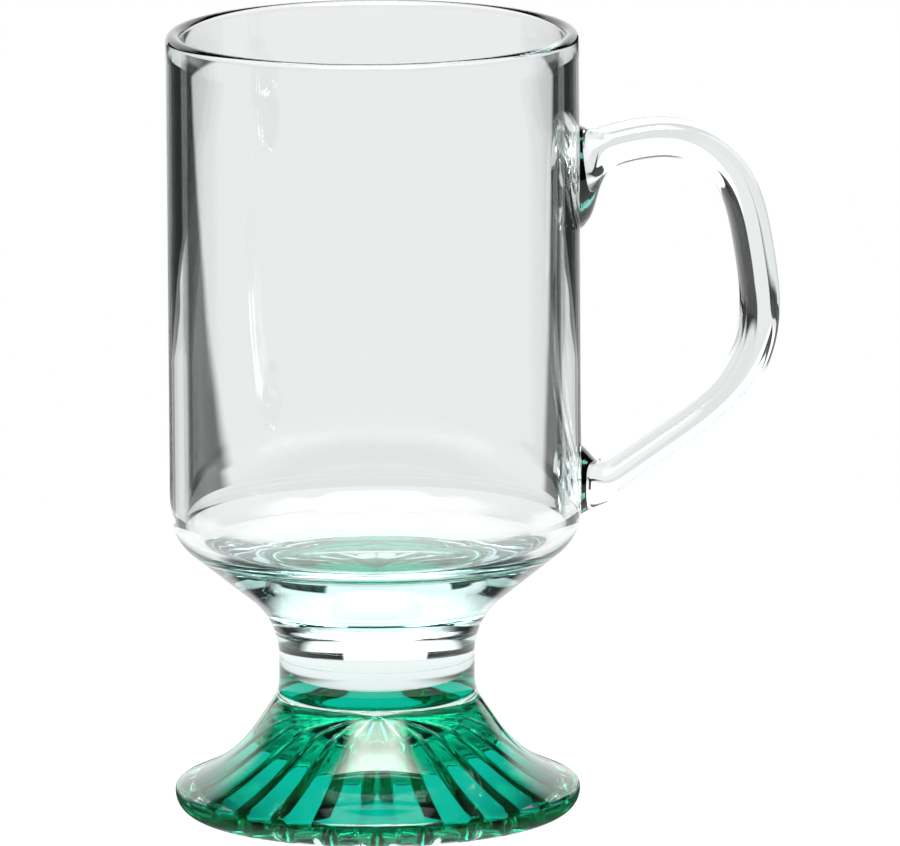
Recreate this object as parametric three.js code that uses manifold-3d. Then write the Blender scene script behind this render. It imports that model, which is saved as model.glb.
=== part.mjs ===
// Footed glass mug: a straight bowl on a solid stem and a flared foot, with a bent bar handle.
// The foot is hollow underneath, where it is pressed into a sunburst of flutes and coated green.
// Millimetres, +Z up. The origin is the centre of the mug's box, on the surface that it stands on.

import * as THREE from 'three';
import { mergeVertices } from 'three/addons/utils/BufferGeometryUtils.js';
import Module from 'manifold-3d';

// Bowl
const mugHeight = 140;
const bowlDiameter = 73;
const wallThickness = 2.6;
const lipRadius = 1.2;
const bowlCornerHeight = 50;
const bowlCornerRadius = 9;
const innerFloorHeight = 48.3;
const innerCornerRadius = 5.5;

// Stem, and the two heights where it is fused to the bowl and to the foot
const stemDiameter = 34.8;
const stemShoulderHeight = 34.6;
const stemShoulderRadius = 14;
const bowlJointHeight = 36;
const footJointHeight = 28;

// Foot: the curve where the flare leaves the stem, the flare's bend and the rounded edge
const footDiameter = 72;
const flareTopHeight = 21.6;
const flareTopRadius = 8;
const flareBendDiameter = 51.5;
const flareBendHeight = 9.2;
const flareBendRadius = 24;
const footEdgeHeight = 4.6;
const footShoulderRadius = 1.1;
const footEdgeRadius = 3.6;

// Hollow under the foot: its two bends, its crown, and the flutes pressed into it
const hollowDiameter = 62;
const hollowBendDiameter = 44;
const hollowBendHeight = 6;
const hollowBendRadius = 12;
const hollowTopDiameter = 24;
const hollowTopHeight = 13;
const hollowTopRadius = 8;
const crownHeight = 15;
const crownDiameter = 5;
const fluteCount = 24;
const fluteDepth = 2.15;
const fluteEndLength = 1.8;

// Colour coat under the foot
const coatThickness = 0.3;
const coatClearance = 0.1;

// Handle: the outer edge's corners before rounding, measured from the bowl's axis, and the bar
const handleTopRootHeight = 119.4;
const handleTopReach = 65.9;
const handleTopHeight = 127.3;
const handleTopRadius = 18;
const handleLowReach = 74.9;
const handleLowHeight = 76.8;
const handleLowRadius = 25.5;
const handleLowRootHeight = 49.4;
const handleThickness = 6.6;
const handleWidth = 11;
const handleSquareness = 5;
const handleClearance = 0.3;

// Handle roots: how far each spreads at the wall, and how far from the wall half of that is left
const topRoot = { atWall: 10, halfway: 3.4 };
const lowRoot = { atWall: 4.9, halfway: 3 };
const rootSide = { atWall: 3, halfway: 3 };
const rootCurve = 2.5;

// Fineness of the facets
const stepsPerFlute = 4;
const turnSteps = 2 * fluteCount;
const arcStepAngle = Math.PI / 12;
const directionStretch = 3;
const hollowRings = 10;
const ringCrowding = 1.4;
const handleSections = 36;
const sectionPoints = 16;
const cutMargin = 2;

const bowlRadius = bowlDiameter / 2;
const footRadius = footDiameter / 2;

const wasm = await Module();
wasm.setup();

// A corner of an outline, with the radius that rounds it.
function corner(x, y, radius = 0) {
  return { point: new THREE.Vector2(x, y), radius };
}

// An open outline through corners, each rounded by an arc that its two sides have room for.
function roundedOutline(corners) {
  const sides = [];
  for (let i = 0; i + 1 < corners.length; i++) {
    const side = corners[i + 1].point.clone().sub(corners[i].point);
    sides.push({ direction: side.clone().normalize(), length: side.length() });
  }
  const halfAngle = corners.map((_, i) => {
    if (i === 0 || i === corners.length - 1) return Math.PI / 2;
    return (Math.PI - sides[i - 1].direction.angleTo(sides[i].direction)) / 2;
  });
  const wanted = corners.map((c, i) => c.radius / Math.tan(halfAngle[i]));
  const room = (i) => {
    const total = wanted[i] + wanted[i + 1];
    return total > sides[i].length ? sides[i].length / total : 1;
  };
  const outline = [];
  corners.forEach((c, i) => {
    if (c.radius === 0 || i === 0 || i === corners.length - 1) {
      outline.push(c.point.clone());
      return;
    }
    const trim = wanted[i] * Math.min(room(i - 1), room(i));
    const radius = trim * Math.tan(halfAngle[i]);
    const start = c.point.clone().addScaledVector(sides[i - 1].direction, -trim);
    const end = c.point.clone().addScaledVector(sides[i].direction, trim);
    const turn = Math.sign(sides[i - 1].direction.cross(sides[i].direction));
    const normal = new THREE.Vector2(-sides[i - 1].direction.y, sides[i - 1].direction.x);
    const centre = start.clone().addScaledVector(normal, turn * radius);
    const from = start.clone().sub(centre).angle();
    const to = end.clone().sub(centre).angle();
    const arc = new THREE.EllipseCurve(centre.x, centre.y, radius, radius, from, to, turn < 0);
    const bend = Math.PI - 2 * halfAngle[i];
    outline.push(...arc.getPoints(Math.ceil(bend / arcStepAngle)));
  });
  return outline;
}

// A descending outline, split at a height into its upper and lower stretch.
function splitOutline(outline, height) {
  const i = outline.findIndex((p) => p.y < height);
  const above = outline[i - 1];
  const below = outline[i];
  const split = above.clone().lerp(below, (above.y - height) / (above.y - below.y));
  return [[...outline.slice(0, i), split], [split, ...outline.slice(i)]];
}

// The point of an outline at a distance along it, which runs on straight past either end.
function pointAlong(outline, distance) {
  let rest = distance;
  let i = 0;
  while (i + 2 < outline.length && rest > outline[i].distanceTo(outline[i + 1])) {
    rest -= outline[i].distanceTo(outline[i + 1]);
    i++;
  }
  const direction = outline[i + 1].clone().sub(outline[i]).normalize();
  return outline[i].clone().addScaledVector(direction, rest);
}

// The direction of an outline at a distance along it, evened out over a short stretch.
function directionAlong(outline, distance) {
  const ahead = pointAlong(outline, distance + directionStretch / 2);
  return ahead.sub(pointAlong(outline, distance - directionStretch / 2)).normalize();
}

function outlineLength(outline) {
  return outline.slice(1).reduce((sum, p, i) => sum + p.distanceTo(outline[i]), 0);
}

// A solid of revolution about Z, from an outline of radius and height that comes down the outside.
function revolve(outline) {
  const geometry = new THREE.LatheGeometry([...outline].reverse(), turnSteps);
  return geometry.rotateX(Math.PI / 2);
}

// A closed skin over rings of equal count, from a first point to a last point.
function loft(first, rings, last) {
  const count = rings[0].length;
  const points = [first, ...rings.flat(), last];
  const at = (ring, i) => 1 + ring * count + (i % count);
  const index = [];
  for (let i = 0; i < count; i++) {
    index.push(0, at(0, i), at(0, i + 1));
    for (let ring = 0; ring + 1 < rings.length; ring++) {
      index.push(at(ring, i), at(ring + 1, i), at(ring + 1, i + 1));
      index.push(at(ring, i), at(ring + 1, i + 1), at(ring, i + 1));
    }
    index.push(points.length - 1, at(rings.length - 1, i + 1), at(rings.length - 1, i));
  }
  const geometry = new THREE.BufferGeometry().setFromPoints(points);
  geometry.setIndex(index);
  return geometry;
}

function toSolid(geometry) {
  const bare = geometry.clone();
  bare.deleteAttribute('normal');
  bare.deleteAttribute('uv');
  const merged = mergeVertices(bare);
  const corners = merged.index.array;
  const kept = [];
  for (let i = 0; i < corners.length; i += 3) {
    const [a, b, c] = [corners[i], corners[i + 1], corners[i + 2]];
    if (a !== b && b !== c && c !== a) kept.push(a, b, c);
  }
  const vertProperties = new Float32Array(merged.attributes.position.array);
  const triVerts = new Uint32Array(kept);
  return new wasm.Manifold(new wasm.Mesh({ numProp: 3, vertProperties, triVerts }));
}

function cut(geometry, cutter) {
  const mesh = toSolid(geometry).subtract(toSolid(cutter)).getMesh();
  const result = new THREE.BufferGeometry();
  result.setAttribute('position', new THREE.BufferAttribute(mesh.vertProperties, 3));
  result.setIndex(new THREE.BufferAttribute(mesh.triVerts, 1));
  return result;
}

// The mug's outer outline, from the top of the lip down to the standing ring.
function outerOutline() {
  return roundedOutline([
    corner(bowlRadius - wallThickness / 2, mugHeight),
    corner(bowlRadius, mugHeight, lipRadius),
    corner(bowlRadius, bowlCornerHeight, bowlCornerRadius),
    corner(stemDiameter / 2, stemShoulderHeight, stemShoulderRadius),
    corner(stemDiameter / 2, flareTopHeight, flareTopRadius),
    corner(flareBendDiameter / 2, flareBendHeight, flareBendRadius),
    corner(footRadius, footEdgeHeight, footShoulderRadius),
    corner(footRadius, 0, footEdgeRadius),
    corner(hollowDiameter / 2, 0),
  ]);
}

// The bowl's inner outline, from the middle of its floor up to the top of the lip.
function innerOutline() {
  const innerRadius = bowlRadius - wallThickness;
  return roundedOutline([
    corner(0, innerFloorHeight),
    corner(innerRadius, innerFloorHeight, innerCornerRadius),
    corner(innerRadius, mugHeight, lipRadius),
    corner(bowlRadius - wallThickness / 2, mugHeight),
  ]);
}

function bowlGeometry(outside) {
  return revolve([...innerOutline(), ...outside.slice(1), new THREE.Vector2(0, bowlJointHeight)]);
}

function stemGeometry(outside) {
  return revolve([new THREE.Vector2(0, bowlJointHeight), ...outside, new THREE.Vector2(0, footJointHeight)]);
}

// The hollow's outline along a ridge between two flutes, from the standing ring up to the crown's middle.
function hollowOutline() {
  return roundedOutline([
    corner(hollowDiameter / 2, 0),
    corner(hollowBendDiameter / 2, hollowBendHeight, hollowBendRadius),
    corner(hollowTopDiameter / 2, hollowTopHeight, hollowTopRadius),
    corner(0, crownHeight),
  ]);
}

// Rings of the fluted hollow from its crown down, drawn back from the glass by an inset.
// Each flute is a groove with two flat flanks, deepest at its middle, that runs out at the foot's edge.
function flutedRings(inset) {
  const outline = hollowOutline();
  const reach = outlineLength(outline) - crownDiameter / 2;
  const rings = [];
  for (let ring = hollowRings; ring >= 0; ring--) {
    const distance = reach * (ring / hollowRings) ** ringCrowding;
    const point = pointAlong(outline, distance);
    const direction = directionAlong(outline, distance);
    const intoGlass = new THREE.Vector2(direction.y, -direction.x);
    const depth = fluteDepth * (point.x / (hollowDiameter / 2)) * Math.min(1, distance / fluteEndLength);
    rings.push(fluteRing(point, intoGlass, depth, inset));
  }
  return rings;
}

function fluteRing(point, intoGlass, depth, inset) {
  const ring = [];
  const count = fluteCount * stepsPerFlute;
  for (let i = 0; i < count; i++) {
    const across = ((i % stepsPerFlute) / stepsPerFlute) * 2 - 1;
    const offset = depth * (1 - Math.abs(across)) - inset;
    const turn = (i / count) * 2 * Math.PI;
    const radius = point.x + intoGlass.x * offset;
    const height = point.y + intoGlass.y * offset;
    ring.push(new THREE.Vector3(radius * Math.sin(turn), -radius * Math.cos(turn), height));
  }
  return ring;
}

function footGeometry(outside) {
  const blank = revolve([new THREE.Vector2(0, footJointHeight), ...outside, new THREE.Vector2(0, 0)]);
  const rings = flutedRings(0);
  const mouth = rings[rings.length - 1].map((p) => p.clone().setZ(-cutMargin));
  const crown = new THREE.Vector3(0, 0, crownHeight);
  const plunger = loft(crown, [...rings, mouth], new THREE.Vector3(0, 0, -cutMargin));
  return cut(blank, plunger);
}

// The coat is a shell under the flutes that stops one ring short of the standing ring, clear of the table.
function coatGeometry() {
  const backInset = coatClearance;
  const faceInset = coatClearance + coatThickness;
  const back = flutedRings(backInset).slice(0, -1);
  const face = flutedRings(faceInset).slice(0, -1);
  const crownBack = new THREE.Vector3(0, 0, crownHeight - backInset);
  const crownFace = new THREE.Vector3(0, 0, crownHeight - faceInset);
  return loft(crownBack, [...back, ...face.reverse()], crownFace);
}

// The handle's outer edge in its own plane, from inside the wall at the top round to inside it below.
function handleEdge() {
  const inside = bowlRadius - wallThickness;
  return roundedOutline([
    corner(inside, handleTopRootHeight),
    corner(handleTopReach, handleTopHeight, handleTopRadius),
    corner(handleLowReach, handleLowHeight, handleLowRadius),
    corner(inside, handleLowRootHeight),
  ]);
}

// How far a root has spread at a distance from the wall: a tongue on the wall that curves out into the bar.
function spread(root, fromWall) {
  return root.atWall / (1 + (Math.max(0, fromWall) / root.halfway) ** rootCurve);
}

// Squared oval sections at right angles to the outer edge, closer together towards the roots, which spread onto the wall.
function handleGeometry(bowlOutside) {
  const edge = handleEdge();
  const length = outlineLength(edge);
  const rings = [];
  for (let section = 0; section <= handleSections; section++) {
    const share = (1 - Math.cos((Math.PI * section) / handleSections)) / 2;
    const point = pointAlong(edge, length * share);
    const direction = directionAlong(edge, length * share);
    const inward = new THREE.Vector2(direction.y, -direction.x);
    const fromWall = point.x - bowlRadius;
    const root = section < handleSections / 2 ? topRoot : lowRoot;
    const halfHeight = (handleThickness + spread(root, fromWall)) / 2;
    const halfWidth = handleWidth / 2 + spread(rootSide, fromWall);
    const centre = point.clone().addScaledVector(inward, halfHeight);
    rings.push(ovalSection(centre, inward, halfHeight, halfWidth));
  }
  const middle = (ring) => ring.reduce((sum, p) => sum.add(p), new THREE.Vector3()).divideScalar(ring.length);
  const bar = loft(middle(rings[0]), rings, middle(rings[rings.length - 1]));
  return cut(bar, bowlEnvelope(bowlOutside));
}

function ovalSection(centre, inward, halfHeight, halfWidth) {
  const squared = (value) => Math.sign(value) * Math.abs(value) ** (2 / handleSquareness);
  const ring = [];
  for (let i = 0; i < sectionPoints; i++) {
    const turn = (i / sectionPoints) * 2 * Math.PI;
    const height = halfHeight * squared(Math.cos(turn));
    const across = -halfWidth * squared(Math.sin(turn));
    ring.push(new THREE.Vector3(centre.x + inward.x * height, across, centre.y + inward.y * height));
  }
  return ring;
}

// The room that the bowl takes up, with its inside filled, grown by the handle's clearance.
function bowlEnvelope(bowlOutside) {
  const grown = bowlOutside.map((p) => new THREE.Vector2(p.x + handleClearance, p.y));
  return revolve([new THREE.Vector2(0, mugHeight), ...grown, new THREE.Vector2(0, bowlJointHeight)]);
}

function clearGlass() {
  return new THREE.MeshStandardMaterial({ color: 0xe6efec, roughness: 0.04, metalness: 0 });
}

function greenCoat() {
  return new THREE.MeshStandardMaterial({ color: 0x0a9a6e, roughness: 0.12, metalness: 0 });
}

function addPiece(group, name, geometry, material) {
  const mesh = new THREE.Mesh(geometry, material);
  mesh.name = name;
  group.add(mesh);
}

// The axis stands off the origin, so that the box of bowl and handle is centred.
function buildMug() {
  const [bowlOutside, below] = splitOutline(outerOutline(), bowlJointHeight);
  const [stemOutside, footOutside] = splitOutline(below, footJointHeight);
  const handle = handleGeometry(bowlOutside);
  handle.computeBoundingBox();
  const mug = new THREE.Group();
  mug.position.x = (Math.max(bowlRadius, footRadius) - handle.boundingBox.max.x) / 2;
  addPiece(mug, 'bowl', bowlGeometry(bowlOutside), clearGlass());
  addPiece(mug, 'stem', stemGeometry(stemOutside), clearGlass());
  addPiece(mug, 'foot', footGeometry(footOutside), clearGlass());
  addPiece(mug, 'foot_colour_coat', coatGeometry(), greenCoat());
  addPiece(mug, 'handle', handle, clearGlass());
  return mug;
}

const part = new THREE.Group();
part.add(buildMug());

export default part;
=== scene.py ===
"""Looks of a footed glass mug: clear pressed glass, with a green lacquered sunburst under its foot.

Lengths are in metres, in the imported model's frame: Z is up and the handle points along +X.
The glass pieces are fused on the real mug, so the faces where they meet let light straight through.
"""

import math

import bmesh
import bpy
from mathutils import Matrix, Vector


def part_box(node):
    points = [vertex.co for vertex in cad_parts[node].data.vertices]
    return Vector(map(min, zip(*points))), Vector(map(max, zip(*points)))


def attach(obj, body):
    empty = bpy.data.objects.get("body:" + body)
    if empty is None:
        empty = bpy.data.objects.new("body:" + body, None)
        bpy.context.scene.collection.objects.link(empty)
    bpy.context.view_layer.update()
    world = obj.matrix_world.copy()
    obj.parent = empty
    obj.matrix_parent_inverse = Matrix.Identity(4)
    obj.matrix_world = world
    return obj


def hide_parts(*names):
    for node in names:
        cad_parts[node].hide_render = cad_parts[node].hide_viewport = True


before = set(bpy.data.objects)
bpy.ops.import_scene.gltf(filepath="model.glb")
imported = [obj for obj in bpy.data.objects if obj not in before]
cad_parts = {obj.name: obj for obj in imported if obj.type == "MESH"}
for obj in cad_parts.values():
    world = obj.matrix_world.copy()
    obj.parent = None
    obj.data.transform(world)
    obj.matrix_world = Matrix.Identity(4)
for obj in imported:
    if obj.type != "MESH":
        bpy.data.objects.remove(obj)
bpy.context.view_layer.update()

MM = 0.001

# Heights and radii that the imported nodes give
bowl_low, bowl_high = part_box("bowl")
foot_low, foot_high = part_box("foot")
AXIS_X = (bowl_low.x + bowl_high.x) / 2
BOWL_RADIUS = (bowl_high.x - bowl_low.x) / 2
FOOT_RADIUS = (foot_high.y - foot_low.y) / 2
MUG_HEIGHT = bowl_high.z
BOWL_JOINT_HEIGHT = bowl_low.z
FOOT_JOINT_HEIGHT = foot_high.z

# Bowl
WALL_THICKNESS = 2.6 * MM
LIP_RADIUS = 1.2 * MM
BOWL_CORNER_HEIGHT = 50 * MM
BOWL_CORNER_RADIUS = 9 * MM
INNER_FLOOR_HEIGHT = 48.3 * MM
INNER_CORNER_RADIUS = 5.5 * MM

# Stem and the outside of the foot
STEM_RADIUS = 17.4 * MM
STEM_SHOULDER_HEIGHT = 34.6 * MM
STEM_SHOULDER_RADIUS = 14 * MM
FLARE_TOP_HEIGHT = 21.6 * MM
FLARE_TOP_RADIUS = 8 * MM
FLARE_BEND_OUT = 25.75 * MM
FLARE_BEND_HEIGHT = 9.2 * MM
FLARE_BEND_RADIUS = 24 * MM
FOOT_EDGE_HEIGHT = 4.6 * MM
FOOT_SHOULDER_RADIUS = 1.1 * MM
FOOT_EDGE_RADIUS = 3.6 * MM

# Hollow under the foot, its flutes and its coat of lacquer
HOLLOW_RADIUS = 31 * MM
HOLLOW_BEND_OUT = 22 * MM
HOLLOW_BEND_HEIGHT = 6 * MM
HOLLOW_BEND_RADIUS = 12 * MM
HOLLOW_TOP_OUT = 12 * MM
HOLLOW_TOP_HEIGHT = 13 * MM
HOLLOW_TOP_RADIUS = 8 * MM
CROWN_HEIGHT = 15 * MM
FLUTES = 24
FLUTE_DEPTH = 2.15 * MM
FLUTE_END_LENGTH = 1.8 * MM
RIDGE_ROUNDING = 0.1
COAT_THICKNESS = 0.3 * MM
COAT_EDGE_LENGTH = 0.05 * MM

# Handle: the bar's middle line in its own plane, its section, and the ovals where its roots meet the wall
BAR_MIDDLE = [
    (33.9 * MM, 115.96 * MM, 0),
    (63.8 * MM, 124 * MM, 14.67 * MM),
    (71.35 * MM, 78.1 * MM, 22.2 * MM),
    (33.9 * MM, 53.39 * MM, 0),
]
BAR_THICKNESS = 6.6 * MM
BAR_WIDTH = 11 * MM
BAR_SQUARENESS = 5
BAR_INNER_SQUARENESS = 2.4
ROUND = 2
TOP_ROOT = {"height": 113 * MM, "half_height": 9.5 * MM, "half_width": 7.5 * MM, "reach": 7 * MM}
LOW_ROOT = {"height": 58.5 * MM, "half_height": 6.5 * MM, "half_width": 7 * MM, "reach": 6 * MM}

# Curve of a root from the wall to the bar: how it leans out, and how far each end's direction holds
ROOT_INNER_SHARE = 0.75
ROOT_LEAN = 0.6
ROOT_LEAVING = 0.4
ROOT_ARRIVING = 0.45

# Gap that keeps meeting faces apart
JOINT_GAP = 0.02 * MM

# Fineness of the meshes
ARC_STEP = math.radians(4)
LONGEST_STEP = 4 * MM
HOLLOW_STEP = 0.7 * MM
JOINT_STEP = 0.05 * MM
COLUMNS = 20
BAR_STEP = 1 * MM
BAR_ARC_STEP = math.radians(1)
BAR_EASING = 16 * MM
BAR_POINTS = 64
ROOT_RINGS = 16
CAP_RINGS = 5
SHARP_ANGLE = math.radians(38)
WELD = 0.001 * MM

# Camera: measured from the photograph's outline
VIEW_TURN = math.radians(-7.5)
VIEW_DISTANCE = 2.48
VIEW_HEIGHT = 0.545
VIEW_AIM_HEIGHT = 0.06965
VIEW_SIDE = 0.01327
VIEW_ROLL = math.radians(0.38)
LENS = 570


# Node trees


class Wire:
    """An output socket of a node tree, on which arithmetic adds Math nodes."""

    def __init__(self, tree, socket):
        self.tree = tree
        self.socket = socket

    def math(self, operation, *values):
        return self.tree.add("ShaderNodeMath", {"operation": operation}, dict(enumerate(values)))

    def __add__(self, other):
        return self.math("ADD", self, other)

    def __radd__(self, other):
        return self.math("ADD", other, self)

    def __sub__(self, other):
        return self.math("SUBTRACT", self, other)

    def __rsub__(self, other):
        return self.math("SUBTRACT", other, self)

    def __mul__(self, other):
        return self.math("MULTIPLY", self, other)

    def __rmul__(self, other):
        return self.math("MULTIPLY", other, self)

    def __truediv__(self, other):
        return self.math("DIVIDE", self, other)

    def __lt__(self, other):
        return self.math("LESS_THAN", self, other)

    def __gt__(self, other):
        return self.math("GREATER_THAN", self, other)

    def __abs__(self):
        return self.math("ABSOLUTE", self)

    def most(self, other):
        return self.math("MAXIMUM", self, other)

    def least(self, other):
        return self.math("MINIMUM", self, other)

    def rise(self, low, high):
        """0 below low and 1 above high, with a soft step between them."""
        settings = {"interpolation_type": "SMOOTHSTEP"}
        inputs = {"Value": self, "From Min": low, "From Max": high}
        return self.tree.add("ShaderNodeMapRange", settings, inputs)

    def step(self, place, edge):
        """0 below a place and 1 above it, with a soft edge that reaches as far to both sides."""
        return self.rise(place - edge, place + edge)


class Tree:
    """A node tree that is built by adding nodes."""

    def __init__(self, node_tree):
        self.tree = node_tree

    def add(self, kind, settings=None, inputs=None, output=0):
        """Adds a node with its settings, then its inputs' values or links, and gives one of its outputs."""
        node = self.tree.nodes.new(kind)
        for name, value in (settings or {}).items():
            setattr(node, name, value)
        for name, value in (inputs or {}).items():
            if isinstance(value, Wire):
                self.tree.links.new(value.socket, node.inputs[name])
            else:
                node.inputs[name].default_value = value
        return Wire(self, node.outputs[output]) if len(node.outputs) else None

    def parts(self, vector):
        """The three numbers of a vector."""
        node = self.add("ShaderNodeSeparateXYZ", {}, {"Vector": vector}).socket.node
        return [Wire(self, socket) for socket in node.outputs]


def new_material(name):
    """An empty material and its tree."""
    material = bpy.data.materials.new(name)
    material.use_nodes = True
    material.node_tree.nodes.clear()
    return material, Tree(material.node_tree)


# Outlines in the plane of radius and height


def rounded(corners, step=ARC_STEP):
    """Points along corners of (x, y, radius), with each corner rounded by an arc of its radius."""
    points = []
    last = len(corners) - 1
    for i, (x, y, radius) in enumerate(corners):
        here = Vector((x, y))
        if i in (0, last) or radius == 0:
            points.append(here)
            continue
        before = (Vector(corners[i - 1][:2]) - here).normalized()
        after = (Vector(corners[i + 1][:2]) - here).normalized()
        half = before.angle(after) / 2
        trim = radius / math.tan(half)
        centre = here + (before + after).normalized() * (radius / math.sin(half))
        start = here + before * trim - centre
        bend = math.pi - 2 * half
        turn = math.copysign(bend, before.x * after.y - before.y * after.x) * -1
        count = max(2, math.ceil(bend / step))
        for k in range(count + 1):
            points.append(centre + rotated(start, turn * k / count))
    return points


def rotated(vector, angle):
    """A flat vector turned by an angle."""
    c, s = math.cos(angle), math.sin(angle)
    return Vector((vector.x * c - vector.y * s, vector.x * s + vector.y * c))


def divided(points, longest):
    """The same outline with no stretch longer than a given length."""
    fine = [points[0]]
    for a, b in zip(points, points[1:]):
        count = max(1, math.ceil((b - a).length / longest))
        fine += [a.lerp(b, k / count) for k in range(1, count + 1)]
    return fine


def cut_at(points, height):
    """A descending outline's stretches above and below a height, with a short step at the cut."""
    i = next(k for k, p in enumerate(points) if p.y < height)
    a, b = points[i - 1], points[i]
    along = (b - a).normalized()
    cut = a + along * ((a.y - height) / -along.y)
    step = along * JOINT_STEP
    return points[:i] + [cut - step, cut], [cut, cut + step] + points[i:]


def outer_outline():
    """The mug's outside, from the top of the lip down to the standing ring."""
    return divided(
        rounded([
            (BOWL_RADIUS - WALL_THICKNESS / 2, MUG_HEIGHT, 0),
            (BOWL_RADIUS, MUG_HEIGHT, LIP_RADIUS),
            (BOWL_RADIUS, BOWL_CORNER_HEIGHT, BOWL_CORNER_RADIUS),
            (STEM_RADIUS, STEM_SHOULDER_HEIGHT, STEM_SHOULDER_RADIUS),
            (STEM_RADIUS, FLARE_TOP_HEIGHT, FLARE_TOP_RADIUS),
            (FLARE_BEND_OUT, FLARE_BEND_HEIGHT, FLARE_BEND_RADIUS),
            (FOOT_RADIUS, FOOT_EDGE_HEIGHT, FOOT_SHOULDER_RADIUS),
            (FOOT_RADIUS, 0, FOOT_EDGE_RADIUS),
            (HOLLOW_RADIUS, 0, 0),
        ]),
        LONGEST_STEP,
    )


def inner_outline():
    """The inside of the bowl, from the middle of its floor up to the top of the lip."""
    radius = BOWL_RADIUS - WALL_THICKNESS
    return divided(
        rounded([
            (0, INNER_FLOOR_HEIGHT, 0),
            (radius, INNER_FLOOR_HEIGHT, INNER_CORNER_RADIUS),
            (radius, MUG_HEIGHT, LIP_RADIUS),
            (BOWL_RADIUS - WALL_THICKNESS / 2, MUG_HEIGHT, 0),
        ]),
        LONGEST_STEP,
    )


def hollow_outline():
    """The hollow along a ridge between two flutes, from the standing ring up to the middle of the crown."""
    return divided(
        rounded([
            (HOLLOW_RADIUS, 0, 0),
            (HOLLOW_BEND_OUT, HOLLOW_BEND_HEIGHT, HOLLOW_BEND_RADIUS),
            (HOLLOW_TOP_OUT, HOLLOW_TOP_HEIGHT, HOLLOW_TOP_RADIUS),
            (0, CROWN_HEIGHT, 0),
        ]),
        HOLLOW_STEP,
    )


def hollow_rows(inset):
    """The hollow's points drawn back from the glass by an inset, with each one's share of a flute."""
    outline = hollow_outline()
    rows = []
    along = 0
    for i, point in enumerate(outline):
        before = outline[max(i - 1, 0)]
        after = outline[min(i + 1, len(outline) - 1)]
        along += (point - before).length
        direction = (after - before).normalized()
        into_glass = Vector((direction.y, -direction.x))
        end = min(1, along / FLUTE_END_LENGTH)
        share = point.x / HOLLOW_RADIUS * end
        rows.append({"point": point - into_glass * inset, "groove": into_glass * share, "along": along})
    rows[-1]["point"].x = 0
    return rows


def plain_rows(points):
    """Rows without a groove."""
    return [{"point": p, "groove": Vector((0, 0))} for p in points]


# Turned and fluted pieces


def fluted_turning():
    """A tree that grooves a strip of one flute's width, bends it round the axis and repeats it."""
    group = bpy.data.node_groups.new("fluted_turning", "GeometryNodeTree")
    face = group.interface
    face.new_socket("Strip", in_out="INPUT", socket_type="NodeSocketGeometry")
    face.new_socket("Flutes", in_out="INPUT", socket_type="NodeSocketInt")
    face.new_socket("Flute Depth", in_out="INPUT", socket_type="NodeSocketFloat")
    face.new_socket("Ridge Rounding", in_out="INPUT", socket_type="NodeSocketFloat")
    face.new_socket("Weld Distance", in_out="INPUT", socket_type="NodeSocketFloat")
    face.new_socket("Material", in_out="INPUT", socket_type="NodeSocketMaterial")
    face.new_socket("Piece", in_out="OUTPUT", socket_type="NodeSocketGeometry")
    tree = Tree(group)
    given = group.nodes.new("NodeGroupInput")
    size = {socket.name: Wire(tree, socket) for socket in given.outputs}
    across = tree.add("GeometryNodeInputNamedAttribute", {"data_type": "FLOAT"}, {"Name": "across"})
    groove = tree.add("GeometryNodeInputNamedAttribute", {"data_type": "FLOAT_VECTOR"}, {"Name": "groove"})
    rounding = size["Ridge Rounding"]
    by_ridge = (abs(across) - (1 - rounding)).most(0)
    by_valley = (rounding - abs(across)).most(0)
    eased = abs(across) + (by_valley * by_valley - by_ridge * by_ridge) / (2 * rounding)
    depth = size["Flute Depth"] * (1 - eased)
    offset = tree.add("ShaderNodeVectorMath", {"operation": "SCALE"}, {0: groove, "Scale": depth})
    grooved = tree.add("GeometryNodeSetPosition", {}, {"Geometry": size["Strip"], "Offset": offset})
    turned = tree.add(
        "ShaderNodeVectorRotate",
        {"rotation_type": "Z_AXIS"},
        {"Vector": tree.add("GeometryNodeInputPosition"), "Angle": across * math.pi / size["Flutes"]},
    )
    sector = tree.add("GeometryNodeSetPosition", {}, {"Geometry": grooved, "Position": turned})
    points = tree.add("GeometryNodePoints", {}, {"Count": size["Flutes"]})
    pitch = (tree.add("GeometryNodeInputIndex") + 0.5) * (2 * math.pi) / size["Flutes"]
    turn = tree.add("ShaderNodeCombineXYZ", {}, {"Z": pitch})
    ring = tree.add(
        "GeometryNodeInstanceOnPoints", {}, {"Points": points, "Instance": sector, "Rotation": turn}
    )
    whole = tree.add("GeometryNodeRealizeInstances", {}, {"Geometry": ring})
    welded = tree.add(
        "GeometryNodeMergeByDistance", {}, {"Geometry": whole, "Distance": size["Weld Distance"]}
    )
    done = tree.add("GeometryNodeSetMaterial", {}, {"Geometry": welded, "Material": size["Material"]})
    tree.add("NodeGroupOutput", {}, {"Piece": done})
    return group


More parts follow.
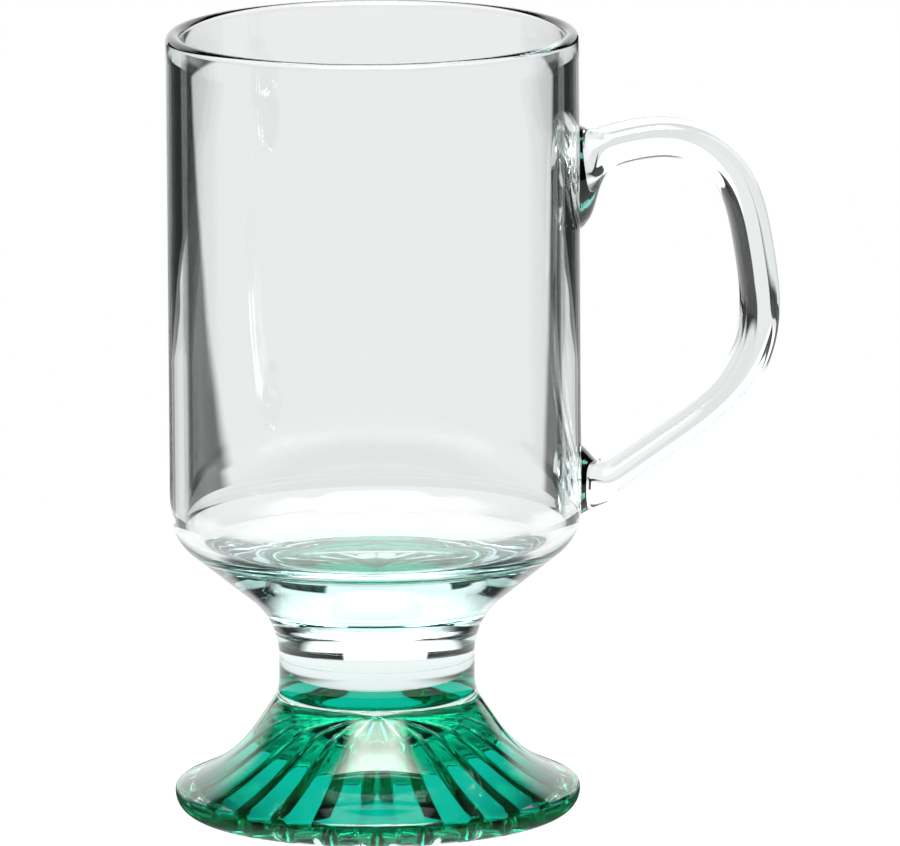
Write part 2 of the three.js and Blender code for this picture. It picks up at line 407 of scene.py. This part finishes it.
def strip_mesh(name, rows, meets):
    """One flute's width of columns of an outline, with each face marked where the piece meets another."""
    mesh = bpy.data.meshes.new(name)
    columns = [2 * k / COLUMNS - 1 for k in range(COLUMNS + 1)]
    if any(row["groove"].length for row in rows):
        columns = [math.copysign(t * t * (3 - 2 * abs(t)), t) for t in columns]
    verts = [(row["point"].x, 0, row["point"].y) for _ in columns for row in rows]
    count = len(rows)
    faces = []
    joints = []
    coats = []
    for c in range(COLUMNS):
        for r in range(count - 1):
            at = c * count + r
            faces.append((at, at + 1, at + count + 1, at + count))
            mark = meets(rows[r], rows[r + 1])
            joints.append(1.0 if mark == "joint" else 0.0)
            coats.append(1.0 if mark == "coat" else 0.0)
    mesh.from_pydata(verts, [], faces)
    across = mesh.attributes.new("across", "FLOAT", "POINT")
    across.data.foreach_set("value", [a for a in columns for _ in rows])
    grooves = [value for _ in columns for row in rows for value in (row["groove"].x, 0, row["groove"].y)]
    groove = mesh.attributes.new("groove", "FLOAT_VECTOR", "POINT")
    groove.data.foreach_set("vector", grooves)
    mesh.attributes.new("joint", "FLOAT", "FACE").data.foreach_set("value", joints)
    mesh.attributes.new("coated", "FLOAT", "FACE").data.foreach_set("value", coats)
    return mesh


def turned_piece(name, rows, meets, material, tree):
    """A closed piece turned about the mug's axis from rows that start and end on it."""
    source = bpy.data.objects.new(name + "_strip", strip_mesh(name + "_strip", rows, meets))
    bpy.context.scene.collection.objects.link(source)
    modifier = source.modifiers.new("turning", "NODES")
    modifier.node_group = tree
    sizes = {
        "Flutes": FLUTES,
        "Flute Depth": FLUTE_DEPTH,
        "Ridge Rounding": RIDGE_ROUNDING,
        "Weld Distance": WELD,
        "Material": material,
    }
    for socket in tree.interface.items_tree:
        if socket.in_out == "INPUT" and socket.name in sizes:
            modifier[socket.identifier] = sizes[socket.name]
    graph = bpy.context.evaluated_depsgraph_get()
    mesh = bpy.data.meshes.new_from_object(source.evaluated_get(graph))
    strip = source.data
    bpy.data.objects.remove(source)
    bpy.data.meshes.remove(strip)
    mesh.transform(Matrix.Translation((AXIS_X, 0, 0)))
    return finished(name, mesh, material)


def finished(name, mesh, material):
    """A piece from a closed mesh, with its faces outwards and smooth up to sharp edges."""
    mesh.name = name
    shape = bmesh.new()
    shape.from_mesh(mesh)
    bmesh.ops.recalc_face_normals(shape, faces=shape.faces)
    shape.to_mesh(mesh)
    shape.free()
    mesh.materials.clear()
    mesh.materials.append(material)
    mesh.polygons.foreach_set("material_index", [0] * len(mesh.polygons))
    mesh.shade_smooth()
    mesh.set_sharp_from_angle(angle=SHARP_ANGLE)
    piece = bpy.data.objects.new(name, mesh)
    bpy.context.scene.collection.objects.link(piece)
    return piece


def at_height(height):
    """A test for the faces of a flat joint at a height."""
    near = 2 * JOINT_GAP

    def mark(a, b):
        flat = abs(a["point"].y - height) < near and abs(b["point"].y - height) < near
        return "joint" if flat else ""

    return mark


def make_bowl(material, tree):
    outside, _ = cut_at(outer_outline(), BOWL_JOINT_HEIGHT + JOINT_GAP)
    floor = Vector((0, BOWL_JOINT_HEIGHT + JOINT_GAP))
    rows = plain_rows(inner_outline() + outside[1:] + [floor])
    return turned_piece("bowl_glass", rows, at_height(BOWL_JOINT_HEIGHT), material, tree)


def make_stem(material, tree):
    top = BOWL_JOINT_HEIGHT - JOINT_GAP
    low = FOOT_JOINT_HEIGHT + JOINT_GAP
    _, below = cut_at(outer_outline(), top)
    outside, _ = cut_at(below, low)
    rows = plain_rows([Vector((0, top))] + outside + [Vector((0, low))])
    ends = (at_height(BOWL_JOINT_HEIGHT), at_height(FOOT_JOINT_HEIGHT))
    return turned_piece("stem_glass", rows, lambda a, b: ends[0](a, b) or ends[1](a, b), material, tree)


def make_foot(material, tree):
    top = FOOT_JOINT_HEIGHT - JOINT_GAP
    _, outside = cut_at(outer_outline(), top)
    rows = plain_rows([Vector((0, top))] + outside[:-1]) + hollow_rows(0)
    joint = at_height(FOOT_JOINT_HEIGHT)

    def mark(a, b):
        coated = min(a.get("along", 0), b.get("along", 0)) >= COAT_EDGE_LENGTH
        return "coat" if coated else joint(a, b)

    return turned_piece("foot_glass", rows, mark, material, tree)


def make_coat(material, tree):
    back = [row for row in hollow_rows(JOINT_GAP) if row["along"] >= COAT_EDGE_LENGTH]
    face = [row for row in hollow_rows(JOINT_GAP + COAT_THICKNESS) if row["along"] >= COAT_EDGE_LENGTH]
    for row in back:
        row["back"] = True
    rows = back[::-1] + face

    def mark(a, b):
        return "joint" if "back" in a and "back" in b else ""

    return turned_piece("foot_lacquer", rows, mark, material, tree)


# Handle


def wall_radius(outline, height):
    """The bowl's outer radius at a height."""
    for a, b in zip(outline, outline[1:]):
        if a.y >= height >= b.y and a.y > b.y:
            return a.lerp(b, (a.y - height) / (a.y - b.y)).x
    return BOWL_RADIUS


def oval(turn, squareness):
    """A point of a squared oval of half-size 1, as its height and its width."""
    power = 2 / squareness
    c, s = math.cos(turn), math.sin(turn)
    return math.copysign(abs(c) ** power, c), math.copysign(abs(s) ** power, s)


def root_point(outline, root, outwards, turn, share):
    """A point of a root's oval on the wall, at a share of the way out from its middle."""
    up, side = oval(turn, ROUND)
    height = root["height"] + outwards * share * up * root["half_height"]
    angle = share * side * root["half_width"] / BOWL_RADIUS
    radius = wall_radius(outline, height) + JOINT_GAP
    return Vector((radius * math.cos(angle), radius * math.sin(angle), height))


def eased(points):
    """An outline in even steps, averaged over a short stretch so that its bends set in softly."""
    ends = [0]
    for a, b in zip(points, points[1:]):
        ends.append(ends[-1] + (b - a).length)
    count = round(ends[-1] / BAR_STEP)
    even = []
    k = 0
    for i in range(count + 1):
        along = ends[-1] * i / count
        while k + 2 < len(points) and ends[k + 1] < along:
            k += 1
        even.append(points[k].lerp(points[k + 1], (along - ends[k]) / (ends[k + 1] - ends[k])))
    half = round(BAR_EASING / BAR_STEP / 2)
    line = []
    for i in range(count + 1):
        width = min(half, i, count - i)
        near = even[i - width:i + width + 1]
        line.append(sum(near, Vector((0, 0))) / len(near))
    return line


def bar_sections():
    """Rings of the bar along its middle line, between the reaches of its two roots."""
    line = eased(rounded(BAR_MIDDLE, BAR_ARC_STEP))
    first = BOWL_RADIUS + TOP_ROOT["reach"]
    last = BOWL_RADIUS + LOW_ROOT["reach"]
    middle = len(line) // 2
    kept = [
        i for i in range(1, len(line) - 1)
        if line[i].x > (first if i < middle else last)
    ]
    rings = []
    for i in kept:
        along = (line[i + 1] - line[i - 1]).normalized()
        out = Vector((-along.y, along.x))
        ring = []
        for k in range(BAR_POINTS):
            turn = 2 * math.pi * k / BAR_POINTS
            inner = oval(turn, ROUND)[0] < 0
            up, side = oval(turn, BAR_INNER_SQUARENESS if inner else BAR_SQUARENESS)
            flat = line[i] + out * (up * BAR_THICKNESS / 2)
            ring.append(Vector((flat.x, side * BAR_WIDTH / 2, flat.y)))
        rings.append({"points": ring, "along": Vector((along.x, 0, along.y))})
    return rings


def root_rings(outline, root, outwards, section, away):
    """Rings from a root's oval on the wall out to the bar's nearest section."""
    rings = [[] for _ in range(ROOT_RINGS)]
    for k in range(BAR_POINTS):
        turn = 2 * math.pi * k / BAR_POINTS
        foot = root_point(outline, root, outwards, turn, 1)
        inner = root_point(outline, root, outwards, turn, ROOT_INNER_SHARE)
        end = section["points"][k]
        reach = (end - foot).length
        lift = Vector((1, 0, 0)) * ROOT_LEAN + (inner - foot).normalized() * (1 - ROOT_LEAN)
        leave = foot + lift.normalized() * reach * ROOT_LEAVING
        arrive = end - section["along"] * away * reach * ROOT_ARRIVING
        for r in range(ROOT_RINGS):
            t = r / ROOT_RINGS
            u = 1 - t
            rings[r].append(
                foot * u ** 3 + leave * (3 * u * u * t) + arrive * (3 * u * t * t) + end * t ** 3
            )
    return rings


def cap_rings(outline, root, outwards):
    """Rings of the face that a root lies on the wall with, from near its middle outwards."""
    return [
        [
            root_point(outline, root, outwards, 2 * math.pi * k / BAR_POINTS, ring / CAP_RINGS)
            for k in range(BAR_POINTS)
        ]
        for ring in range(1, CAP_RINGS)
    ]


def make_handle(material):
    outline = outer_outline()
    bar = bar_sections()
    top_cap = cap_rings(outline, TOP_ROOT, 1)
    low_cap = cap_rings(outline, LOW_ROOT, -1)
    top = root_rings(outline, TOP_ROOT, 1, bar[0], 1)
    low = root_rings(outline, LOW_ROOT, -1, bar[-1], -1)
    rings = top_cap + top + [section["points"] for section in bar] + low[::-1] + low_cap[::-1]
    first = root_point(outline, TOP_ROOT, 1, 0, 0)
    last = root_point(outline, LOW_ROOT, -1, 0, 0)
    verts = [first] + [p for ring in rings for p in ring] + [last]
    faces = []
    marks = []

    def at(ring, k):
        return 1 + ring * BAR_POINTS + k % BAR_POINTS

    count = len(rings)
    for k in range(BAR_POINTS):
        faces.append((0, at(0, k), at(0, k + 1)))
        marks.append(1.0)
        for r in range(count - 1):
            faces.append((at(r, k), at(r + 1, k), at(r + 1, k + 1), at(r, k + 1)))
            on_wall = r < len(top_cap) or r >= count - 1 - len(low_cap)
            marks.append(1.0 if on_wall else 0.0)
        faces.append((len(verts) - 1, at(count - 1, k + 1), at(count - 1, k)))
        marks.append(1.0)
    mesh = bpy.data.meshes.new("handle_glass")
    mesh.from_pydata([(p.x + AXIS_X, p.y, p.z) for p in verts], [], faces)
    joint = mesh.attributes.new("joint", "FLOAT", "FACE")
    joint.data.foreach_set("value", marks)
    return finished("handle_glass", mesh, material)


# Materials


WHITE = (1, 1, 1, 1)
BUMP_DISTANCE = 1 * MM
GLASS_IOR = 1.52
GLASS_TINT = (0.2, 0.78, 0.72, 1)
GLASS_DENSITY = 5
BOWL_DENSITY = 9
WAVES = {"Scale": 45, "Detail": 1, "Roughness": 0.4}
WAVE_STRENGTH = 0.02
LACQUER_IOR = 1.45
LACQUER_TINT = (0.002, 0.56, 0.39, 1)
LACQUER_ROUGHNESS = 0.06
MOTTLE = {"Scale": 160, "Detail": 3}
MOTTLE_STRENGTH = 0.03


def clear_surface(tree, relief, strength, roughness, index):
    """A clear surface with a faint relief that bends the light by an index."""
    settings = {"Height": relief, "Strength": strength, "Distance": BUMP_DISTANCE}
    return tree.add(
        "ShaderNodeBsdfPrincipled",
        {},
        {
            "Base Color": WHITE,
            "Roughness": roughness,
            "IOR": index,
            "Transmission Weight": 1,
            "Normal": tree.add("ShaderNodeBump", {}, settings),
        },
    )


def glass_surface(tree, index):
    """Clear glass with the faint waviness of pressing."""
    place = tree.add("ShaderNodeTexCoord", output="Object")
    wave = tree.add("ShaderNodeTexNoise", {}, {"Vector": place, **WAVES})
    return clear_surface(tree, wave, WAVE_STRENGTH, 0, index)


def on_roots(tree):
    """1 where the bowl's outer wall lies under a handle root, 0 elsewhere."""
    x, y, z = tree.parts(tree.add("ShaderNodeTexCoord", output="Object"))
    out = x - AXIS_X
    arc = y.math("ARCTAN2", y, out) * BOWL_RADIUS
    outside = (out * out + y * y) > (BOWL_RADIUS - WALL_THICKNESS / 2) ** 2
    under = 0
    for root in (TOP_ROOT, LOW_ROOT):
        side = arc / root["half_width"]
        up = (z - root["height"]) / root["half_height"]
        under = under + ((side * side + up * up) < 1)
    return under * outside


def glass_material(name, density=GLASS_DENSITY, has_roots=False, has_coat=False):
    """Clear glass, tinted by depth, that lets light straight through where it meets another piece."""
    material, tree = new_material(name)
    joint = tree.add("ShaderNodeAttribute", {"attribute_name": "joint"}, output="Fac")
    if has_roots:
        joint = joint.most(on_roots(tree))
    outside = glass_surface(tree, GLASS_IOR)
    if has_coat:
        coated = tree.add("ShaderNodeAttribute", {"attribute_name": "coated"}, output="Fac")
        under_coat = glass_surface(tree, GLASS_IOR / LACQUER_IOR)
        outside = tree.add("ShaderNodeMixShader", {}, {0: coated, 1: outside, 2: under_coat})
    clear = tree.add("ShaderNodeBsdfTransparent")
    surface = tree.add("ShaderNodeMixShader", {}, {0: joint, 1: outside, 2: clear})
    volume = tree.add("ShaderNodeVolumeAbsorption", {}, {"Color": GLASS_TINT, "Density": density})
    tree.add("ShaderNodeOutputMaterial", {}, {"Surface": surface, "Volume": volume})
    return material


def lacquer_material():
    """Translucent green lacquer: its back, on the glass, tints the light and its face bends it."""
    material, tree = new_material("green_lacquer")
    joint = tree.add("ShaderNodeAttribute", {"attribute_name": "joint"}, output="Fac")
    place = tree.add("ShaderNodeTexCoord", output="Object")
    mottle = tree.add("ShaderNodeTexNoise", {}, {"Vector": place, **MOTTLE})
    face = clear_surface(tree, mottle, MOTTLE_STRENGTH, mottle * LACQUER_ROUGHNESS, LACQUER_IOR)
    back = tree.add("ShaderNodeBsdfTransparent", {}, {"Color": LACQUER_TINT})
    surface = tree.add("ShaderNodeMixShader", {}, {0: joint, 1: face, 2: back})
    tree.add("ShaderNodeOutputMaterial", {}, {"Surface": surface})
    return material


# Stage


# Floor: white to the eye; through the glass it shows a shaded middle, with a lit strip along the view line
FLOOR_RADIUS = 0.29
FLOOR_SEGMENTS = 96
FLOOR_COLOUR = (0.03, 0.03, 0.03, 1)
FLOOR_ROUGHNESS = 0.7
FLOOR_GLOW = 1.1
TABLE_GLOW = 0.86
SHADE_GLOW = 0.015
SHADE_RADIUS = 0.058
SHADE_FADE = 0.02
STRIP_FULL = 0.008
STRIP_END = 0.036
STRIP_START = -0.04
STRIP_EDGE = 0.004

# Surroundings: how bright they are, and the share of the table's light beside the cards and on dark things
ROOM_LIGHT = 0.03
TABLE_LIGHT = 0.86
BACKDROP_LIGHT = 1.4
SIDE_LIGHT = 0.9
FLANK_LIGHT = 0.15
CARD_LIGHT = 0.03

# Heights in the surroundings, as sines of elevations
CARD_LOW = math.sin(math.radians(-11.5))
CARD_MIDDLE = math.sin(math.radians(-11.1))
CARD_WIDENING_START = math.sin(math.radians(-10.6))
TABLE_END = math.sin(math.radians(-7))
CARD_TOP = math.sin(math.radians(3))
BACKDROP_TOP = math.sin(math.radians(30))
SOFT_HEIGHT = 0.01
BACKDROP_SOFT_HEIGHT = 0.06

# Turns away from the view line: the dark cards' edges, how these lean, the flanks and the backdrop
CARD_IN_LEFT = math.radians(5.2)
CARD_IN_RIGHT = math.radians(8.4)
CARD_OUT_LEFT = math.radians(21)
CARD_OUT_RIGHT = math.radians(20)
CARD_WIDENING = 50
CARD_WIDEST = math.radians(55)
CARD_SLANT_LEFT = 5.2
CARD_SLANT_RIGHT = 2.5
CARD_SPREAD_LEFT = math.radians(17)
CARD_SPREAD_RIGHT = math.radians(5)
SOFT_EDGE = math.radians(0.9)
FLANK_START = math.radians(45)
FLANK_END = math.radians(64)
FLANK_EDGE = math.radians(3.5)
BACKDROP_LEFT = math.radians(45)
BACKDROP_RIGHT = math.radians(35)
BACKDROP_FADE = 0.2

# Softbox
SOFTBOX_WIDTH = 0.8
SOFTBOX_DEPTH = 0.66
SOFTBOX_POWER = 32
SOFTBOX_COLOUR = (1, 0.97, 0.94, 1)
SOFTBOX_FADE = 0.35
SOFTBOX_DISTANCE = 0.8
SOFTBOX_ELEVATION = math.radians(69)

# Light paths
MOST_BOUNCES = 32
GLOSSY_BOUNCES = 16


def make_floor():
    """A round pale floor, white to the camera; through the glass its glow is painted shade round the mug,
    with a painted lit strip along the view line.
    """
    mesh = bpy.data.meshes.new("floor")
    shape = bmesh.new()
    bmesh.ops.create_circle(shape, cap_ends=True, segments=FLOOR_SEGMENTS, radius=FLOOR_RADIUS)
    shape.to_mesh(mesh)
    shape.free()
    material, tree = new_material("pale_floor_painted_shade")
    x, y, _ = tree.parts(tree.add("ShaderNodeTexCoord", output="Object"))
    out = x - AXIS_X
    far_squared = out * out + y * y
    far = far_squared.math("SQRT", far_squared)
    across = out * math.cos(VIEW_TURN) + y * math.sin(VIEW_TURN)
    along = y * math.cos(VIEW_TURN) - out * math.sin(VIEW_TURN)
    # Painted shadow and light: through the glass the glow is dark within SHADE_RADIUS of the mug's axis,
    # except a painted lit strip along the view line; the camera sees plain white
    strip = 1 - abs(across).rise(STRIP_FULL, STRIP_END)
    strip = strip * along.step(STRIP_START, STRIP_EDGE)
    lit = strip.most(far.rise(SHADE_RADIUS, SHADE_RADIUS + SHADE_FADE))
    glow = SHADE_GLOW + lit * (TABLE_GLOW - SHADE_GLOW)
    glow = glow.most(tree.add("ShaderNodeLightPath", output="Is Camera Ray"))
    glow_colour = tree.add("ShaderNodeCombineColor", {}, {0: glow, 1: glow, 2: glow})
    surface = tree.add(
        "ShaderNodeBsdfPrincipled",
        {},
        {
            "Base Color": FLOOR_COLOUR,
            "Roughness": FLOOR_ROUGHNESS,
            "Specular IOR Level": 0,
            "Emission Color": glow_colour,
            "Emission Strength": FLOOR_GLOW,
        },
    )
    tree.add("ShaderNodeOutputMaterial", {}, {"Surface": surface})
    mesh.materials.append(material)
    floor = bpy.data.objects.new("floor", mesh)
    floor.location.z = -JOINT_GAP
    bpy.context.scene.collection.objects.link(floor)


def make_world():
    """A bright table all round and a bright backdrop ahead, with dark cards and flanks, in a dark room."""
    world = bpy.data.worlds.new("studio")
    bpy.context.scene.world = world
    world.use_nodes = True
    world.node_tree.nodes.clear()
    tree = Tree(world.node_tree)
    x, y, z = tree.parts(tree.add("ShaderNodeTexCoord", output="Generated"))
    turn = x.math("ARCTAN2", x, y) + VIEW_TURN
    off_line = abs(turn)
    on_right = turn > 0

    def sided(left, right):
        return left + on_right * (right - left)

    slant = (z - CARD_MIDDLE) * sided(CARD_SLANT_LEFT, CARD_SLANT_RIGHT)
    slant = slant.least(sided(CARD_SPREAD_LEFT, CARD_SPREAD_RIGHT))
    past_inside = off_line - slant - sided(CARD_IN_LEFT, CARD_IN_RIGHT)
    inside = past_inside.step(0, SOFT_EDGE)
    widening = ((z - CARD_WIDENING_START) * CARD_WIDENING).most(0).least(CARD_WIDEST)
    past_outside = off_line - widening - sided(CARD_OUT_LEFT, CARD_OUT_RIGHT)
    outside = past_outside.step(0, SOFT_EDGE)
    far_off = z.step(CARD_LOW, SOFT_HEIGHT)
    card = inside * (1 - outside) * far_off * (1 - z.step(CARD_TOP, SOFT_HEIGHT))
    aside = outside * far_off
    flank = off_line.step(FLANK_START, FLANK_EDGE) * (1 - off_line.step(FLANK_END, FLANK_EDGE)) * far_off
    table = (1 - card * (1 - CARD_LIGHT)) * (1 - aside * (1 - SIDE_LIGHT)) * TABLE_LIGHT
    table = table * (1 - flank * (1 - FLANK_LIGHT))
    backdrop = 1 - (off_line / sided(BACKDROP_LEFT, BACKDROP_RIGHT)).step(1, BACKDROP_FADE)
    over_backdrop = z.step(BACKDROP_TOP, BACKDROP_SOFT_HEIGHT)
    backdrop = backdrop * (1 - card) * (1 - over_backdrop) * BACKDROP_LIGHT
    above = z.step(TABLE_END, SOFT_HEIGHT)
    light = table * (1 - above) + (backdrop * above).most(ROOM_LIGHT * above)
    seen = tree.add("ShaderNodeLightPath", output="Is Camera Ray")
    background = tree.add("ShaderNodeBackground", {}, {"Color": WHITE, "Strength": light.most(seen)})
    tree.add("ShaderNodeOutputWorld", {}, {"Surface": background})


def make_softbox():
    """A wide softbox over the camera's side."""
    light = bpy.data.lights.new("softbox", "AREA")
    light.shape = "RECTANGLE"
    light.size = SOFTBOX_WIDTH
    light.size_y = SOFTBOX_DEPTH
    light.energy = SOFTBOX_POWER
    light.use_nodes = True
    light.node_tree.nodes.clear()
    tree = Tree(light.node_tree)
    across, along, _ = tree.parts(tree.add("ShaderNodeNewGeometry", output="Parametric"))
    soft = 1
    for place in (across, along):
        from_edge = 0.5 - abs(place - 0.5)
        soft = soft * from_edge.rise(0, SOFTBOX_FADE)
    glow = tree.add("ShaderNodeEmission", {}, {"Color": SOFTBOX_COLOUR, "Strength": soft})
    tree.add("ShaderNodeOutputLight", {}, {"Surface": glow})
    lamp = bpy.data.objects.new("softbox", light)
    level = SOFTBOX_DISTANCE * math.cos(SOFTBOX_ELEVATION)
    height = SOFTBOX_DISTANCE * math.sin(SOFTBOX_ELEVATION)
    place = Vector((level * math.sin(VIEW_TURN), -level * math.cos(VIEW_TURN), height))
    lamp.location = place + Vector((AXIS_X, 0, 0))
    lamp.rotation_euler = place.to_track_quat("Z", "Y").to_euler()
    bpy.context.scene.collection.objects.link(lamp)


def make_camera():
    """The photograph's view."""
    camera = bpy.data.cameras.new("camera")
    camera.lens = LENS
    eye = bpy.data.objects.new("camera", camera)
    sight = Vector((-math.sin(VIEW_TURN), math.cos(VIEW_TURN), 0))
    side = Vector((math.cos(VIEW_TURN), math.sin(VIEW_TURN), 0))
    pitch = math.atan2(VIEW_HEIGHT - VIEW_AIM_HEIGHT, VIEW_DISTANCE)
    forward = sight * math.cos(pitch) - Vector((0, 0, math.sin(pitch)))
    level_up = side.cross(forward)
    right = side * math.cos(VIEW_ROLL) - level_up * math.sin(VIEW_ROLL)
    up = level_up * math.cos(VIEW_ROLL) + side * math.sin(VIEW_ROLL)
    place = Vector((AXIS_X, 0, VIEW_HEIGHT)) - sight * VIEW_DISTANCE + side * VIEW_SIDE
    eye.matrix_world = Matrix.Translation(place) @ Matrix((right, up, -forward)).transposed().to_4x4()
    bpy.context.scene.collection.objects.link(eye)
    bpy.context.scene.camera = eye


def set_light_paths():
    """Enough bounces for light that crosses several walls of glass, and plain colours."""
    scene = bpy.context.scene
    scene.cycles.max_bounces = MOST_BOUNCES
    scene.cycles.transmission_bounces = MOST_BOUNCES
    scene.cycles.glossy_bounces = GLOSSY_BOUNCES
    scene.cycles.transparent_max_bounces = MOST_BOUNCES
    scene.view_settings.view_transform = "Standard"


make_camera()
set_light_paths()
make_world()
make_softbox()
make_floor()

turning = fluted_turning()
pieces = {
    "bowl": make_bowl(glass_material("bowl_glass", BOWL_DENSITY, has_roots=True), turning),
    "stem": make_stem(glass_material("stem_glass"), turning),
    "foot": make_foot(glass_material("foot_glass", has_coat=True), turning),
    "handle": make_handle(glass_material("handle_glass")),
    "foot_colour_coat": make_coat(lacquer_material(), turning),
}
for node, piece in pieces.items():
    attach(piece, "root")
    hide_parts(node)
